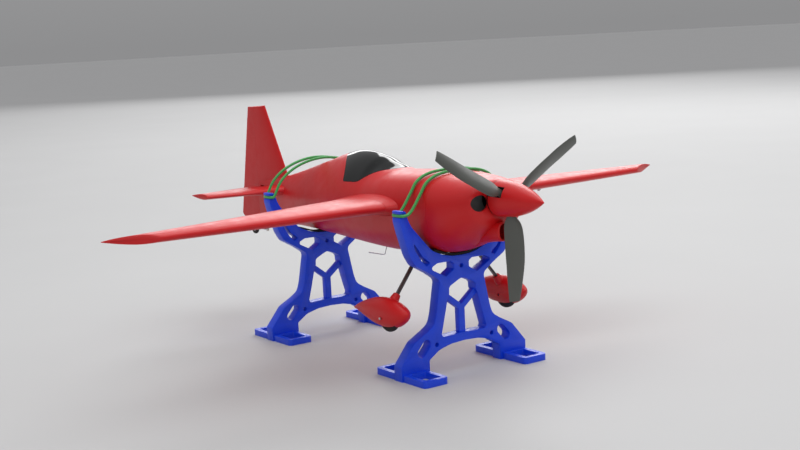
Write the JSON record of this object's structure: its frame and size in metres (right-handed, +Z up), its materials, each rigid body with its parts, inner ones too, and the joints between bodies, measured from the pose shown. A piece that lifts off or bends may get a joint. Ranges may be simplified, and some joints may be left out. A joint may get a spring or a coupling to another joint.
{
  "type": "model aeroplane",
  "caption": "Electric propeller racing aeroplane model with fixed gear, wheel pants and working control surfaces, strapped onto its cradle stands.",
  "frame": {"origin": "on the floor under the stands, at the middle of the bounding box in plan", "axes": "+X to the aeroplane's nose, +Y to its left wing tip, +Z up"},
  "size_m": [0.7338, 0.882, 0.3305],
  "materials": {
    "red_gloss": "gloss",
    "black_gloss": "gloss",
    "stand_blue": "satin",
    "strap_green": "matt",
    "propeller_grey": "satin",
    "tyre_rubber": "matt",
    "pad_foam": "matt",
    "carbon": "satin",
    "steel": "satin",
    "alloy": "satin",
    "motor_black": "satin",
    "nylon": "satin",
    "plywood": "matt",
    "servo_blue": "gloss",
    "battery_wrap": "gloss",
    "black_plastic": "satin"
  },
  "bodies": {
    "airframe": {"fuselage": "red_gloss", "cowl": "red_gloss", "wing_left": "red_gloss", "wing_right": "red_gloss", "wing_spar": "carbon", "stabiliser": "red_gloss", "aileron_servo_left": "servo_blue", "aileron_servo_right": "servo_blue", "gear_block": "plywood", "gear_leg_left": "carbon", "gear_leg_right": "carbon", "wheel_pant_left": "red_gloss", "wheel_pant_right": "red_gloss", "axle_left": "steel", "axle_right": "steel", "firewall": "plywood", "motor_mount": "black_plastic", "motor_stator": "alloy", "stand_front": "stand_blue", "stand_rear": "stand_blue", "saddle_pad_front": "pad_foam", "saddle_pad_rear": "pad_foam", "strap_front": "strap_green", "strap_rear": "strap_green", "battery_tray": "plywood", "battery": "battery_wrap", "speed_controller": "black_plastic", "receiver": "black_plastic", "elevator_servo": "servo_blue", "rudder_servo": "servo_blue", "antenna": "steel"},
    "propeller_unit": {"motor_bell": "motor_black", "prop_adapter": "steel", "spinner_backplate": "alloy", "propeller": "propeller_grey", "prop_nut": "steel", "spinner": "red_gloss"},
    "wheel_left": {"tyre_left": "tyre_rubber", "wheel_hub_left": "alloy"},
    "wheel_right": {"tyre_right": "tyre_rubber", "wheel_hub_right": "alloy"},
    "rudder": {"rudder": "red_gloss", "tail_wheel_fork": "steel"},
    "tail_wheel": {"tail_wheel": "tyre_rubber"},
    "elevator": {"elevator_left": "red_gloss", "elevator_right": "red_gloss", "elevator_joiner": "carbon"},
    "aileron_left": {"aileron_left": "red_gloss"},
    "aileron_right": {"aileron_right": "red_gloss"},
    "aileron_servo_arm_left": {"aileron_servo_arm_left": "nylon"},
    "aileron_servo_arm_right": {"aileron_servo_arm_right": "nylon"},
    "elevator_servo_arm": {"elevator_servo_arm": "nylon"},
    "rudder_servo_arm": {"rudder_servo_arm": "nylon"},
    "aileron_pushrod_left": {"aileron_pushrod_left": "steel"},
    "aileron_pushrod_right": {"aileron_pushrod_right": "steel"},
    "elevator_pushrod": {"elevator_pushrod": "steel"},
    "rudder_pushrod": {"rudder_pushrod": "steel"},
    "canopy": {"canopy": "black_gloss"}
  },
  "joints": [
    {"name": "propeller_spin", "type": "hinge", "parent": "airframe", "child": "propeller_unit", "pos_m": [0.3053, 0, 0.2265], "axis": [1, 0, 0], "continuous": true},
    {"name": "wheel_left_roll", "type": "hinge", "parent": "airframe", "child": "wheel_left", "pos_m": [0.174, 0.0952, 0.0787], "axis": [0, 1, 0], "continuous": true},
    {"name": "wheel_right_roll", "type": "hinge", "parent": "airframe", "child": "wheel_right", "pos_m": [0.174, -0.0952, 0.0787], "axis": [0, 1, 0], "continuous": true},
    {"name": "rudder_hinge", "type": "hinge", "parent": "airframe", "child": "rudder", "pos_m": [-0.306, -0.00381, 0.1502], "axis": [0, 0.0051, 1], "range_deg": [-25, 25]},
    {"name": "tail_wheel_roll", "type": "hinge", "parent": "rudder", "child": "tail_wheel", "pos_m": [-0.3305, 0, 0.133], "axis": [0, 1, 0], "continuous": true},
    {"name": "elevator_hinge", "type": "hinge", "parent": "airframe", "child": "elevator", "pos_m": [-0.285, 0, 0.20402], "axis": [0, 1, 0], "range_deg": [-20, 20]},
    {"name": "aileron_right_hinge", "type": "hinge", "parent": "airframe", "child": "aileron_right", "pos_m": [0.07309, -0.186, 0.21693], "axis": [-0.1757, 0.9844, 0.001], "range_deg": [-20, 20]},
    {"name": "aileron_left_hinge", "type": "hinge", "parent": "airframe", "child": "aileron_left", "pos_m": [0.07309, 0.186, 0.21693], "axis": [0.1757, 0.9844, -0.001], "range_deg": [-20, 20]},
    {"name": "aileron_servo_right_turn", "type": "hinge", "parent": "airframe", "child": "aileron_servo_arm_right", "pos_m": [0.104, -0.2215, 0.208], "axis": [0, 1, 0], "range_deg": [-42.4, 42.4]},
    {"name": "aileron_servo_left_turn", "type": "hinge", "parent": "airframe", "child": "aileron_servo_arm_left", "pos_m": [0.104, 0.2215, 0.208], "axis": [0, 1, 0], "range_deg": [-42.4, 42.4]},
    {"name": "elevator_servo_turn", "type": "hinge", "parent": "airframe", "child": "elevator_servo_arm", "pos_m": [-0.062, 0.0158, 0.18], "axis": [0, 1, 0], "range_deg": [-28.2, 28.2]},
    {"name": "rudder_servo_turn", "type": "hinge", "parent": "airframe", "child": "rudder_servo_arm", "pos_m": [-0.096, 0.0149, 0.1861], "axis": [0, 1, 0], "range_deg": [-37.1, 37.1]},
    {"name": "aileron_pushrod_right_slide", "type": "slide", "parent": "airframe", "child": "aileron_pushrod_right", "axis": [1, 0, 0], "range_m": [-0.00595, 0.00595]},
    {"name": "aileron_pushrod_left_slide", "type": "slide", "parent": "airframe", "child": "aileron_pushrod_left", "axis": [1, 0, 0], "range_m": [-0.00595, 0.00595]},
    {"name": "elevator_pushrod_slide", "type": "slide", "parent": "airframe", "child": "elevator_pushrod", "axis": [1, 0, 0], "range_m": [-0.00495, 0.00495]},
    {"name": "rudder_pushrod_slide", "type": "slide", "parent": "airframe", "child": "rudder_pushrod", "axis": [1, 0, 0], "range_m": [-0.00909, 0.00909]},
    {"name": "canopy_lift", "type": "slide", "parent": "airframe", "child": "canopy", "axis": [0, 0, 1], "range_m": [0, 0.06]}
  ],
  "couplings": [
    {"joint": "aileron_left_hinge", "follows": "aileron_right_hinge", "ratio": -1},
    {"joint": "aileron_servo_right_turn", "follows": "aileron_right_hinge", "ratio": 2.1117},
    {"joint": "aileron_servo_left_turn", "follows": "aileron_right_hinge", "ratio": -2.1117},
    {"joint": "aileron_pushrod_right_slide", "follows": "aileron_right_hinge", "m_per_rad": -0.016894},
    {"joint": "aileron_pushrod_left_slide", "follows": "aileron_right_hinge", "m_per_rad": 0.016894},
    {"joint": "elevator_servo_turn", "follows": "elevator_hinge", "ratio": -1.4017},
    {"joint": "elevator_pushrod_slide", "follows": "elevator_hinge", "m_per_rad": -0.014017},
    {"joint": "rudder_servo_turn", "follows": "rudder_hinge", "ratio": 1.4787},
    {"joint": "rudder_pushrod_slide", "follows": "rudder_hinge", "m_per_rad": -0.020702}
  ]
}
